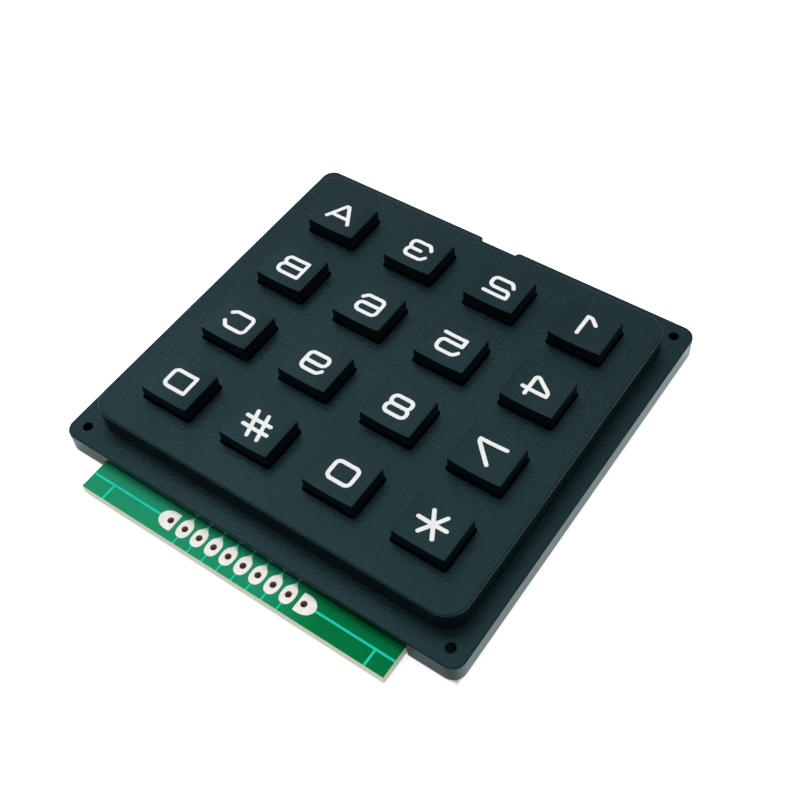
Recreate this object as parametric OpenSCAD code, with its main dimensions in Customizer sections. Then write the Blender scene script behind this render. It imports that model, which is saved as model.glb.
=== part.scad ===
// Matrix keypad module: a moulded housing with sixteen keys over a rubber membrane and a circuit board.
// The board reaches out under the front edge and carries a row of plated holes.
// Origin: centre of the four corner holes, in the plane of the flange's underside.
// +X along the front edge to the right, +Y to the back, +Z up out of the keys.

/* [Overall] */
// Width of the flange from left to right
flange_w = 67; // [62:0.1:90]
// Depth of the flange from front to back
flange_d = 63.4; // [59:0.1:90]
// Flange beyond the platform, left and right
rim_x = 2.75; // [2.5:0.05:6]
// Flange beyond the platform, front and back
rim_y = 3.7; // [3.4:0.05:6]
// Platform beyond the key field, left and right
margin_x = 2.45; // [1.8:0.05:5]
// Platform beyond the key field, front and back
margin_y = 2.5; // [1.8:0.05:5]
// Offset of the key field from the housing's centre, to the right
field_x = 0.3; // [-0.8:0.05:0.8]
// Offset of the key field from the housing's centre, to the back
field_y = 0.25; // [-0.6:0.05:0.6]

/* [Keycap] */
// Width of a key's top
key_w = 8.2; // [6.5:0.1:9.5]
// Depth of a key's top
key_d = 7; // [5.8:0.1:8.5]
// Corner radius of a key, seen from above
key_r = 0.3; // [0.3:0.05:1.5]
// Radius on a key's upper edge
key_edge_r = 0.1; // [0.05:0.05:0.15]
// Slope of each key wall, from bottom to top
key_draft = 0.1; // [0:0.02:0.12]
// Depth of the shallow hollow across a key's top
key_dish = 0.25; // [0.1:0.05:0.35]
// Height of a key's top above the platform
key_rise = 2.5; // [1.5:0.1:4]
// Distance that a key travels down
key_travel = 1.15; // [0.6:0.05:1.5]
// Gap between a key and its opening
key_gap = 0.2; // [0.15:0.05:0.5]
// Width of the skirt behind the edge of the opening
skirt_lap = 0.6; // [0.4:0.1:0.9]
// Thickness of the skirt
skirt_t = 0.8; // [0.5:0.1:1.1]
// Thickness of a key's walls and top
key_wall = 1.2; // [0.8:0.1:1.6]
// Thickness of the cross rib under a key
key_rib = 1; // [0.6:0.1:1.4]

/* [Housing] */
// Height of the platform above the flange
platform_rise = 3.7; // [3.2:0.1:6]
// Corner radius of the platform
platform_r = 3.5; // [2:0.1:5]
// Radius on the platform's upper edge
platform_edge_r = 0.3; // [0.2:0.05:0.8]
// Thickness of the platform's top plate
plate_t = 1.2; // [0.9:0.1:1.5]
// Thickness of the platform's side walls
wall_t = 1.5; // [1:0.1:2]
// Thickness of the flange
flange_t = 3.3; // [2.2:0.1:4]
// Corner radius of the flange
flange_r = 2; // [1:0.1:3]
// Radius on the flange's upper edge
flange_edge_r = 0.25; // [0.1:0.05:0.5]

/* [Corner holes and notch] */
// Diameter of the corner holes
hole_d = 1.5; // [1:0.1:1.8]
// Distance of a corner hole from the flange's side edge
hole_inset_x = 2.6; // [2:0.1:3]
// Distance of a corner hole from the flange's front or back edge
hole_inset_y = 2.5; // [2:0.1:3]
// Width of the notch in the flange's back edge
notch_w = 6; // [4:0.5:12]
// Depth of the notch
notch_depth = 2.7; // [1.5:0.1:3]
// Radius at the mouth of the notch
notch_mouth_r = 1; // [0.5:0.1:1.4]
// Radius in the corners of the notch
notch_corner_r = 0.5; // [0.2:0.1:1]

/* [Board] */
// Thickness of the board
board_t = 1.6; // [1:0.1:2]
// Distance from the flange's ends to the neck that reaches out in front
neck_inset = 7.8; // [5:0.1:10]
// Reach of the neck in front of the flange
neck_reach = 4.7; // [4:0.05:12]
// Gap between the board's edges and the housing
board_gap = 0.3; // [0.1:0.05:0.5]
// Gap between the board's top and the front wall above it
slot_gap = 0.1; // [0.08:0.02:0.3]
// Thickness of pads, plating and traces
copper_t = 0.05; // [0.03:0.01:0.07]

/* [Header row] */
// Number of header holes
header_count = 10; // [4:1:16]
// Spacing of the header holes
header_pitch = 2.54; // [2.4:0.01:2.8]
// Distance of the header row from the board's front edge
header_inset = 2.55; // [1.9:0.05:3]
// Diameter of a plated header hole
header_hole_d = 1; // [0.7:0.05:1.2]
// Width of an inner pad
pad_w = 2.15; // [1.9:0.05:2.3]
// Length of an inner pad
pad_l = 2.6; // [2.3:0.05:3]
// Distance from the hole to the tip of a pad's tail
tail_l = 1.9; // [1.6:0.05:2.2]
// Distance from the hole to the line where the tail begins
tail_root_y = 1.1; // [0.8:0.05:1.2]
// Width of a pad's tail where it begins
tail_root_w = 0.9; // [0.6:0.05:1.1]
// Radius of an end pad
end_pad_r = 1.45; // [1.2:0.05:1.6]
// Distance from the hole to an end pad's flat side
end_pad_flat = 0.87; // [0.75:0.01:1]
// Offset of an end pad away from its neighbour
end_pad_shift = 0.08; // [0:0.01:0.2]
// Diameter of a pad on the underside
back_pad_d = 1.9; // [1.6:0.05:2.2]
// Width of the broad traces
trace_w = 0.35; // [0.2:0.05:0.6]
// Width of the fine traces
fine_trace_w = 0.25; // [0.15:0.05:0.4]
// Distance from the neck's left end to the trace that turns to the front edge
branch_left = 3.9; // [2:0.05:8]
// Distance from the neck's right end to the trace that turns to the front edge
branch_right = 2.95; // [2:0.05:8]

/* [Membrane] */
// Thickness of the membrane's sheet
sheet_t = 0.9; // [0.6:0.1:1.1]
// Gap between the sheet and the walls and posts around it
sheet_gap = 0.3; // [0.1:0.05:0.5]
// Wall thickness of a dome
dome_wall = 0.4; // [0.3:0.05:0.5]
// Widening of a dome from its column to its foot
dome_flare = 1.4; // [1:0.1:1.8]
// Diameter of a conductive pill
pill_d = 3.5; // [3:0.1:4]
// Thickness of a conductive pill
pill_t = 0.5; // [0.3:0.05:0.6]
// Gap between a pill and the wall of its dome
pill_gap = 0.2; // [0.1:0.05:0.3]
// Distance left between a pill and its pad when the key is down
pill_rest = 0.05; // [0.03:0.01:0.1]
// Contact pad beyond the pill, all round
contact_lap = 0.7; // [0.4:0.05:0.8]
// Gap between the two halves of a contact pad
contact_split = 0.3; // [0.2:0.05:0.5]
// Width of the fingers of a contact pad
finger_w = 0.9; // [0.7:0.05:1]

/* [Heat stakes] */
// Diameter of a post
post_d = 3; // [2.4:0.1:3.2]
// Diameter of the pin that goes through the board
pin_d = 1.6; // [1.2:0.1:2]
// Gap between a pin and its hole in the board
pin_gap = 0.1; // [0.05:0.05:0.2]
// Diameter of a formed head
head_d = 3; // [2.6:0.1:3.6]
// Thickness of a formed head
head_t = 0.6; // [0.4:0.1:1]
// Radius on the edge of a formed head
head_edge_r = 0.3; // [0.1:0.05:0.35]

/* [Hidden] */
$fn = 48;
dish_fn = 480;
over = 1;
key_cols = 4;
key_rows = 4;

// The legends, from the front row to the back row, each from left to right
LEGENDS = [
    ["d", "hash", "0", "star"],
    ["c", "9", "8", "7"],
    ["b", "6", "5", "4"],
    ["a", "3", "2", "1"]
];

platform_w = flange_w - 2 * rim_x;
platform_d = flange_d - 2 * rim_y;
pitch_x = (platform_w - 2 * margin_x) / key_cols;
pitch_y = (platform_d - 2 * margin_y) / key_rows;
platform_z = flange_t + platform_rise;
ceiling_z = platform_z - plate_t;

key_base_z = ceiling_z - skirt_t;
key_top_z = platform_z + key_rise;
key_h = key_top_z - key_base_z;
key_base_w = key_w + 2 * key_draft;
key_base_d = key_d + 2 * key_draft;
opening_w = key_base_w + 2 * key_gap;
opening_d = key_base_d + 2 * key_gap;
opening_r = key_r + key_gap;
core_quarter_w = (key_base_w - 2 * key_wall - key_rib) / 2;
core_quarter_d = (key_base_d - 2 * key_wall - key_rib) / 2;
dish_r = (key_w * key_w / 4 + key_dish * key_dish) / (2 * key_dish);

pocket_w = platform_w - 2 * wall_t;
pocket_d = platform_d - 2 * wall_t;
board_w = pocket_w - 2 * board_gap;
board_d = pocket_d - 2 * board_gap;
neck_w = flange_w - 2 * neck_inset;
neck_front = -flange_d / 2 - neck_reach;
neck_left = -neck_w / 2;
neck_right = neck_w / 2;
copper_z = board_t + copper_t;

header_y = neck_front + header_inset;
header_drill_d = header_hole_d + 2 * copper_t;
tail_tip_y = header_y + tail_l;
pad_foot_y = header_y - pad_l / 2;
under_wall_y = -platform_d / 2;

pill_z = copper_z + pill_rest + key_travel;
pill_top_z = pill_z + pill_t;
sheet_z = board_t + sheet_t;
chamber_top_r = pill_d / 2 + pill_gap;
chamber_foot_r = chamber_top_r + dome_flare;
column_r = chamber_top_r + dome_wall;
contact_d = pill_d + 2 * contact_lap;
meander_step = finger_w + contact_split;

function key_x(col) = field_x + (col - (key_cols - 1) / 2) * pitch_x;
function key_y(row) = field_y + (row - (key_rows - 1) / 2) * pitch_y;
function header_x(i) = (i - (header_count - 1) / 2) * header_pitch;

// Flat shapes

module rounded_rect(w, d, r) {
    square([w - 2 * r, d], center = true);
    square([w, d - 2 * r], center = true);
    for (x = [-1, 1], y = [-1, 1])
        translate([x * (w / 2 - r), y * (d / 2 - r)]) circle(r);
}

// One side of a wall that leans in by draft and ends in a rounded upper edge
module edge_profile(reach, h, edge, draft) {
    shoulder = reach - draft;
    polygon([[0, 0], [reach, 0], [shoulder, h - edge], [shoulder - edge, h], [0, h]]);
    translate([shoulder - edge, h - edge]) circle(edge);
}

module mirrored_profile(reach, h, edge, draft) {
    edge_profile(reach, h, edge, draft);
    mirror([1, 0]) edge_profile(reach, h, edge, draft);
}

// Solid shapes

// A block with round vertical corners, sloping walls and a rounded upper edge, standing on z = 0
module soft_box(w, d, h, r, edge, draft) {
    straight_w = w - 2 * r;
    straight_d = d - 2 * r;
    translate([-straight_w / 2, 0, 0]) rotate([90, 0, 90])
        linear_extrude(straight_w) mirrored_profile(d / 2, h, edge, draft);
    translate([0, straight_d / 2, 0]) rotate([90, 0, 0])
        linear_extrude(straight_d) mirrored_profile(w / 2, h, edge, draft);
    for (x = [-1, 1], y = [-1, 1])
        translate([x * straight_w / 2, y * straight_d / 2, 0])
            rotate_extrude() edge_profile(r, h, edge, draft);
}

module at_keys() {
    for (row = [0 : key_rows - 1], col = [0 : key_cols - 1])
        translate([key_x(col), key_y(row), 0]) children();
}

module at_posts() {
    for (row = [0 : key_rows - 2], col = [0 : key_cols - 2])
        translate([key_x(col) + pitch_x / 2, key_y(row) + pitch_y / 2, 0]) children();
}

module at_header() {
    for (i = [0 : header_count - 1])
        translate([header_x(i), header_y, 0]) children();
}

// Housing

module housing() {
    color("#20262b") difference() {
        union() {
            difference() {
                union() {
                    soft_box(flange_w, flange_d, flange_t, flange_r, flange_edge_r, 0);
                    soft_box(platform_w, platform_d, platform_z, platform_r, platform_edge_r, 0);
                }
                board_pocket();
            }
            at_posts() heat_stake();
        }
        at_keys() translate([0, 0, ceiling_z - over])
            linear_extrude(plate_t + 2 * over) rounded_rect(opening_w, opening_d, opening_r);
        corner_holes();
        back_notch();
    }
}

// The board lies in this pocket, and its neck reaches out through a slot under the front wall
module board_pocket() {
    translate([0, 0, -over]) linear_extrude(ceiling_z + over)
        rounded_rect(pocket_w, pocket_d, platform_r - wall_t);
    translate([neck_left - board_gap, -flange_d / 2 - over, -over])
        cube([neck_w + 2 * board_gap, flange_d / 2 + over, board_t + slot_gap + over]);
}

module corner_holes() {
    for (x = [-1, 1], y = [-1, 1])
        translate([x * (flange_w / 2 - hole_inset_x), y * (flange_d / 2 - hole_inset_y), -over])
            cylinder(h = flange_t + 2 * over, d = hole_d);
}

module back_notch() {
    translate([0, flange_d / 2, -over]) linear_extrude(flange_t + 2 * over) {
        notch_l = notch_depth + over;
        translate([0, notch_l / 2 - notch_depth]) rounded_rect(notch_w, notch_l, notch_corner_r);
        difference() {
            translate([0, over - (notch_mouth_r + over) / 2])
                square([notch_w + 2 * notch_mouth_r, notch_mouth_r + over], center = true);
            for (side = [-1, 1])
                translate([side * (notch_w / 2 + notch_mouth_r), -notch_mouth_r])
                    circle(notch_mouth_r);
        }
    }
}

// A post down to the board, a pin through it and a head formed over the pin's end
module heat_stake() {
    translate([0, 0, board_t]) cylinder(h = ceiling_z + plate_t / 2 - board_t, d = post_d);
    translate([0, 0, -head_t / 2]) cylinder(h = board_t + head_t, d = pin_d);
    mirror([0, 0, 1]) rotate_extrude() edge_profile(head_d / 2, head_t, head_edge_r, 0);
}

// Membrane

module rubber_membrane() {
    color("#5d6366") difference() {
        union() {
            translate([0, 0, board_t]) linear_extrude(sheet_t) rounded_rect(
                pocket_w - 2 * sheet_gap, pocket_d - 2 * sheet_gap, platform_r - wall_t
            );
            at_keys() dome();
        }
        at_keys() dome_chamber();
        at_posts() translate([0, 0, board_t - over])
            cylinder(h = sheet_t + 2 * over, d = post_d + 2 * sheet_gap);
    }
}

// A flared wall that carries a solid column up to the key
module dome() {
    rotate_extrude() polygon([
        [0, board_t],
        [chamber_foot_r + dome_wall, board_t],
        [chamber_foot_r + dome_wall, sheet_z],
        [column_r, pill_top_z + dome_wall],
        [column_r, key_base_z],
        [0, key_base_z]
    ]);
}

module dome_chamber() {
    rotate_extrude() polygon([
        [0, board_t - over],
        [chamber_foot_r, board_t - over],
        [chamber_foot_r, sheet_z],
        [chamber_top_r, pill_top_z],
        [0, pill_top_z]
    ]);
}

module pill(col, row) {
    color("#15171a") translate([key_x(col), key_y(row), pill_z]) cylinder(h = pill_t, d = pill_d);
}

// Keys

module keycap(col, row) {
    color("#2a3136") translate([key_x(col), key_y(row), key_base_z]) difference() {
        union() {
            soft_box(key_base_w, key_base_d, key_h, key_r, key_edge_r, key_draft);
            linear_extrude(skirt_t)
                rounded_rect(opening_w + 2 * skirt_lap, opening_d + 2 * skirt_lap, opening_r);
        }
        key_core();
        key_hollow();
    }
}

// The hollow runs from front to back, and is deepest along the middle of the key
module key_hollow() {
    translate([0, 0, key_h - key_dish + dish_r]) rotate([90, 0, 0])
        cylinder(h = key_base_d + 2 * over, r = dish_r, center = true, $fn = dish_fn);
}

// Four pockets that leave a cross rib to press on the dome
module key_core() {
    for (x = [-1, 1], y = [-1, 1])
        translate([
            x * (key_rib + core_quarter_w) / 2,
            y * (key_rib + core_quarter_d) / 2,
            (key_h - key_wall - over) / 2
        ]) cube([core_quarter_w, core_quarter_d, key_h - key_wall + over], center = true);
}

// Board

module board() {
    color("#1e8a55") difference() {
        linear_extrude(board_t) {
            rounded_rect(board_w, board_d, platform_r - wall_t);
            translate([neck_left, neck_front]) square([neck_w, -neck_front]);
        }
        at_posts() translate([0, 0, -over])
            cylinder(h = board_t + 2 * over, d = pin_d + 2 * pin_gap);
        at_header() translate([0, 0, -over])
            cylinder(h = board_t + 2 * over, d = header_drill_d);
    }
}

module contact_pads() {
    color("#c9a24a") at_keys() translate([0, 0, board_t]) linear_extrude(copper_t)
        difference() {
            circle(d = contact_d);
            contact_meander();
        }
}

// The winding gap that parts a contact pad into two interlocked halves
module contact_meander() {
    reach = contact_d / 2;
    run = meander_step;
    translate([-run, (run - reach - over) / 2])
        square([contact_split, run + reach + over + contact_split], center = true);
    square([contact_split, 2 * run + contact_split], center = true);
    translate([run, (reach + over - run) / 2])
        square([contact_split, run + reach + over + contact_split], center = true);
    translate([-run / 2, run]) square([run, contact_split], center = true);
    translate([run / 2, -run]) square([run, contact_split], center = true);
}

module header_pads() {
    color("#d8d6cc") for (i = [0 : header_count - 1])
        translate([header_x(i), header_y, 0]) difference() {
            union() {
                translate([0, 0, board_t]) linear_extrude(copper_t) pad_outline(i);
                translate([0, 0, -copper_t]) cylinder(h = copper_z + copper_t, d = header_drill_d);
                translate([0, 0, -copper_t]) cylinder(h = copper_t, d = back_pad_d);
            }
            translate([0, 0, -over]) cylinder(h = board_t + 2 * over, d = header_hole_d);
        }
}

module pad_outline(i) {
    if (i == 0) mirror([1, 0]) end_pad();
    else if (i == header_count - 1) end_pad();
    else inner_pad();
}

// An oval with a tail that narrows towards the housing
module inner_pad() {
    straight = pad_l - pad_w;
    square([pad_w, straight], center = true);
    for (y = [-1, 1]) translate([0, y * straight / 2]) circle(d = pad_w);
    polygon([
        [-tail_root_w / 2, tail_root_y],
        [tail_root_w / 2, tail_root_y],
        [fine_trace_w / 2, tail_l],
        [-fine_trace_w / 2, tail_l]
    ]);
}

// A round pad with one flat side, which faces its neighbour
module end_pad() {
    intersection() {
        translate([end_pad_shift, 0]) circle(end_pad_r);
        translate([-end_pad_flat, -2 * end_pad_r]) square(4 * end_pad_r);
    }
}

module board_traces() {
    color("#2f9f86") translate([0, 0, board_t]) linear_extrude(copper_t) {
        for (i = [1 : header_count - 2]) {
            trace_y(header_x(i), fine_trace_w, neck_front, pad_foot_y);
            trace_y(header_x(i), fine_trace_w, tail_tip_y, under_wall_y);
        }
        trace_x(header_y, neck_left, header_x(0) - end_pad_shift - end_pad_r);
        trace_x(header_y, header_x(header_count - 1) + end_pad_shift + end_pad_r, neck_right);
        trace_y(neck_left + branch_left, trace_w, neck_front, header_y);
        trace_y(neck_right - branch_right, trace_w, neck_front, header_y);
    }
}

module trace_x(y, from_x, to_x) {
    translate([from_x, y - trace_w / 2]) square([to_x - from_x, trace_w]);
}

module trace_y(x, w, from_y, to_y) {
    translate([x - w / 2, from_y]) square([w, to_y - from_y]);
}

housing();
rubber_membrane();
board();
contact_pads();
header_pads();
board_traces();
for (row = [0 : key_rows - 1], col = [0 : key_cols - 1]) {
    keycap(col, row);
    pill(col, row);
}
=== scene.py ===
"""Matrix keypad module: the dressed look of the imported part.

Every length is in metres, in the part's own frame: the origin is the centre of the four corner
holes in the plane of the flange's underside, +X runs along the front edge, +Y to the back and +Z
up out of the keys.
"""

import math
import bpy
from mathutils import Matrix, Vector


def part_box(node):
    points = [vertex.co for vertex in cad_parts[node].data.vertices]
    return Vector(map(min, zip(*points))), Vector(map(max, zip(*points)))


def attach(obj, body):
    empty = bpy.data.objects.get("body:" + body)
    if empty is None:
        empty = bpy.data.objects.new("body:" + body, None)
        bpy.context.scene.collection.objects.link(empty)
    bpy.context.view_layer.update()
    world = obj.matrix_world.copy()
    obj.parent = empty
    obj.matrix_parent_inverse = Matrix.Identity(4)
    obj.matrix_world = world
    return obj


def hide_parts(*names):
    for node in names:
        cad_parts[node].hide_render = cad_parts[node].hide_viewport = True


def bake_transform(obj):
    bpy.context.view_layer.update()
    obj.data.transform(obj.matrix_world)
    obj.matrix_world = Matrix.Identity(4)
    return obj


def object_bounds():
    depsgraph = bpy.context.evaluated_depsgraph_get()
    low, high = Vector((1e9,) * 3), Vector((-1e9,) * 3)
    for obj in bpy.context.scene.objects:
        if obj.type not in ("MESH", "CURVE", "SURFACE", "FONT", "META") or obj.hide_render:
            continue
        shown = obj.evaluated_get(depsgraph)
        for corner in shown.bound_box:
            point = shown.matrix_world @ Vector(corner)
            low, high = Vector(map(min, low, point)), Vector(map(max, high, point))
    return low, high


bl_info = {
    "name": "Matrix Keypad Module",
    "version": (1, 0, 0),
    "blender": (4, 5, 0),
    "location": "View3D > Sidebar > Keypad",
    "description": "Builds the keys, signs, board, pads and finishes of a matrix keypad",
    "category": "Object",
}

import bmesh
import bpy
from mathutils import Matrix, Vector

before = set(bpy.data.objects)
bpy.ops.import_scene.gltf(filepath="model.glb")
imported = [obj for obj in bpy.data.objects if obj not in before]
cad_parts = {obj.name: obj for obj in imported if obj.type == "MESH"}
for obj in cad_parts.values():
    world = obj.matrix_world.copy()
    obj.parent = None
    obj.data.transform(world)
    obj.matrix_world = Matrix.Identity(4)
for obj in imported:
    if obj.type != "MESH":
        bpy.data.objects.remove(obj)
CAD_BOX = [list(corner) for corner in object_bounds()]

MM = 0.001
ROOT_BODY = "module"

# The keys, from the front row to the back row, each from left to right
KEYS = (
    "d", "hash", "0", "star",
    "c", "9", "8", "7",
    "b", "6", "5", "4",
    "a", "3", "2", "1",
)

# Centre lines of the printed signs, in millimetres from the middle of a key's top. A bend inside
# a line becomes a curve, and two lines meet in a sharp corner.
# They are drawn left to right reversed, as the photograph shows them.
SIGNS = {
    "a": (
        ((-0.45, 1.75), (-2.1, -1.4)),
        ((-0.05, 1.75), (1.9, -1.55)),
        ((-0.45, 1.75), (-0.05, 1.75)),
        ((-1.65, -0.62), (1.35, -0.62)),
    ),
    "3": (
        ((1.82, 0.6), (1.2, 1.47), (-1.68, 1.47), (-1.65, 0.4), (-1.35, -0.15)),
        ((-1.35, -0.15), (-1.7, -0.6), (-1.65, -1.68), (1.25, -1.68), (1.78, -1.0)),
        ((-1.35, -0.15), (0.4, -0.15)),
    ),
    "2": (
        ((2.0, 0.65), (1.4, 1.5), (-1.52, 1.5), (-1.52, -0.3), (1.95, -0.3), (1.95, -1.6)),
        ((1.95, -1.6), (-1.75, -1.57)),
    ),
    "1": (
        ((-0.5, -1.55), (-0.5, 1.8)),
        ((-0.5, 1.8), (0.15, 1.8), (1.2, 0.8)),
    ),
    "b": (
        ((2.05, 1.53), (2.05, -1.6)),
        ((2.05, 1.53), (-1.62, 1.53), (-1.6, 0.6), (-1.3, 0.1), (2.05, 0.1)),
        ((-1.2, 0.1), (-1.78, -0.4), (-1.75, -1.6), (2.05, -1.6)),
    ),
    "6": (
        ((-1.6, 0.8), (-1.0, 1.5), (1.97, 1.5), (1.97, -1.6), (-1.5, -1.6), (-1.5, 0.0),
         (1.97, 0.0)),
    ),
    "5": (
        ((-1.88, 1.62), (1.65, 1.58)),
        ((1.65, 1.58), (1.65, 0.38)),
        ((1.65, 0.38), (-1.75, 0.48), (-1.75, -1.52), (1.2, -1.52), (1.75, -0.85)),
    ),
    "4": (
        ((-1.1, -1.75), (-1.1, 1.52), (-0.6, 1.52), (1.7, -0.2), (1.72, -0.87)),
        ((-1.95, -0.8), (1.72, -0.87)),
    ),
    "c": (
        ((-1.78, 0.98), (-1.1, 1.52), (2.08, 1.52), (2.08, -1.52), (-1.15, -1.52), (-1.8, -0.75)),
    ),
    "9": (
        ((1.75, -0.85), (1.2, -1.5), (-1.7, -1.5), (-1.7, 1.52), (1.65, 1.52), (1.65, -0.1),
         (-1.7, -0.1)),
    ),
    "8": (
        ((0.0, 1.57), (1.65, 1.57), (1.62, 0.5), (1.3, 0.07), (-1.2, 0.07), (-1.52, 0.5),
         (-1.52, 1.57), (0.0, 1.57)),
        ((1.3, 0.07), (1.75, -0.4), (1.75, -1.5), (-1.62, -1.5), (-1.62, -0.4), (-1.2, 0.07)),
    ),
    "7": (
        ((2.0, 1.67), (-1.98, 1.55)),
        ((-1.98, 1.55), (-1.95, 1.15), (0.87, -1.62)),
    ),
    "d": (
        ((2.0, 1.52), (2.0, -1.5)),
        ((2.0, 1.52), (-1.72, 1.52), (-1.72, -1.5), (2.0, -1.5)),
    ),
    "hash": (
        ((-1.42, 1.9), (-0.38, -2.0)),
        ((0.33, 1.9), (1.33, -2.0)),
        ((-2.3, 0.65), (1.68, 0.65)),
        ((-1.97, -0.75), (2.05, -0.75)),
    ),
    "0": (
        ((0.1, 1.53), (1.92, 1.53), (1.92, -1.42), (-1.67, -1.42), (-1.67, 1.53), (0.1, 1.53)),
    ),
    "star": (
        ((-2.15, 0.05), (2.1, 0.03)),
        ((-0.95, 1.85), (1.15, -1.85)),
        ((1.2, 1.75), (-1.05, -1.75)),
    ),
}

# Fixed values, which the panel doesn't show
SIGN_REACH = 2.9 * MM  # half the square that a sign is cut from
SIGN_LAYERS = 9  # cells through the ink
SIGN_BLUR = 3.0  # cells over which the ink's edge fades
FILLET_STEPS = 8  # points round a corner or a bend
MOULDED_ANGLE, FINE_ANGLE = 35, 40  # in degrees, above which an edge is sharp
BARREL_LENGTH = 20 * MM  # of the cylinder that hollows a key
SKIRT_EASE = 0.08 * MM  # bevel on a key's skirt
MERGE_NEAR = 0.001 * MM  # points of a keycap nearer than this become one
WELD_NEAR = 0.0005 * MM  # the same for the points of a finished mesh
PAD_STEPS = 144  # points round a pad
PAD_SQUARENESS = 2.4  # 2 is an ellipse, and a high number a rectangle
END_SQUARENESS = 12
PAD_BEVEL, PAD_SHOULDER = 0.7, 2.2  # how far a pad's face draws in, in copper thicknesses
LIP = 0.8  # radius at a hole's mouth, in copper thicknesses
DOME_LIFT = 0.01 * MM  # from the sheet to where a dome is cut off, so that no faces coincide
DOME_ROOM = 1.0 * MM  # from a dome's top to the top of the box that cuts it off
SHADE_FADE = (-0.8 * MM, -0.1 * MM)  # where the floor's glow fades to a painted shadow, inside an outline
SIDE_FADE = 1.0 * MM  # half the change of the painted reflection from the floor's sides to its ends
LEFT_LAMP_PLACE, LEFT_LAMP_SIZE = (-0.20, 0.116, 0.50), 0.35
BACK_LAMP_PLACE, BACK_LAMP_SIZE = (-0.18, 0.30, 0.46), 0.40


# Sizes and colours


def length(name, description, millimetres, low, high):
    """A length, given in millimetres and kept in metres."""
    return bpy.props.FloatProperty(
        name=name, description=description, default=millimetres * MM, min=low * MM, max=high * MM,
        precision=5, unit="LENGTH",
    )


def colour(name, description, red, green, blue):
    """A linear colour."""
    return bpy.props.FloatVectorProperty(
        name=name, description=description, default=(red, green, blue), min=0.0, max=1.0, size=3,
        subtype="COLOR",
    )


def factor(name, description, value, low=0.0, high=1.0):
    """A plain number between two limits."""
    return bpy.props.FloatProperty(
        name=name, description=description, default=value, min=low, max=high
    )


def number(name, description, value, low, high):
    """A whole number between two limits."""
    return bpy.props.IntProperty(
        name=name, description=description, default=value, min=low, max=high
    )


def angle(name, description, degrees):
    """An angle, shown in degrees."""
    return bpy.props.FloatProperty(
        name=name, description=description, default=math.radians(degrees), subtype="ANGLE"
    )


def spot(name, description, *place):
    """A place in metres."""
    return bpy.props.FloatVectorProperty(
        name=name, description=description, default=place, size=len(place),
        subtype="TRANSLATION", precision=5,
    )


class KeycapSizes(bpy.types.PropertyGroup):
    """Shape of a keycap. Its place, width and height come from the CAD key."""

    skirt_lap: length("Skirt Lap", "Skirt beyond the wall, with its gap", 0.8, 0.3, 1.4)
    skirt: length("Skirt Thickness", "Thickness of the retaining skirt", 0.8, 0.4, 1.2)
    draft: length("Draft", "Slope of a wall from bottom to top", 0.1, 0.0, 0.12)
    corner: length("Corner Radius", "Radius of a key's corners from above", 0.3, 0.3, 1.5)
    edge: length("Edge Radius", "Radius on the upper edge", 0.1, 0.05, 0.15)
    rim: length("Flat Rim", "Flat ring inside the rounded edge", 0.05, 0.01, 0.05)
    dish: length("Hollow", "Depth of the shallow hollow across the top", 0.25, 0.1, 0.4)
    wall: length("Wall", "Thickness of the walls and the top", 1.2, 0.6, 1.8)
    rib: length("Rib", "Thickness of the cross rib under the top", 1.0, 0.5, 1.6)
    edge_steps: number("Edge Steps", "Faces across a rounded edge", 4, 2, 16)
    dish_faces: number("Hollow Faces", "Faces round the hollow's cylinder", 720, 180, 1440)


class LegendSizes(bpy.types.PropertyGroup):
    """Strokes of the printed signs."""

    stroke: length("Stroke Width", "Width of a printed stroke", 0.6, 0.3, 1.2)
    bend: length("Bend Radius", "Radius of a stroke's curves", 0.72, 0.1, 1.5)
    ink: length("Ink Height", "Height of the ink above and below the key's top", 0.03, 0.01, 0.1)
    grid: length("Grid Step", "Size of the cells that a sign is made from", 0.05, 0.03, 0.2)
    shift: spot("Shift", "Place of a sign's middle on its key", -0.00011, 0.00013)
    reversed_signs: bpy.props.BoolProperty(
        name="Reversed Signs",
        description="Draw the signs reversed from left to right, as in the photograph",
        default=True,
    )
    ink_colour: colour("Ink", "Colour of the printed signs", 0.90, 0.92, 0.92)


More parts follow.
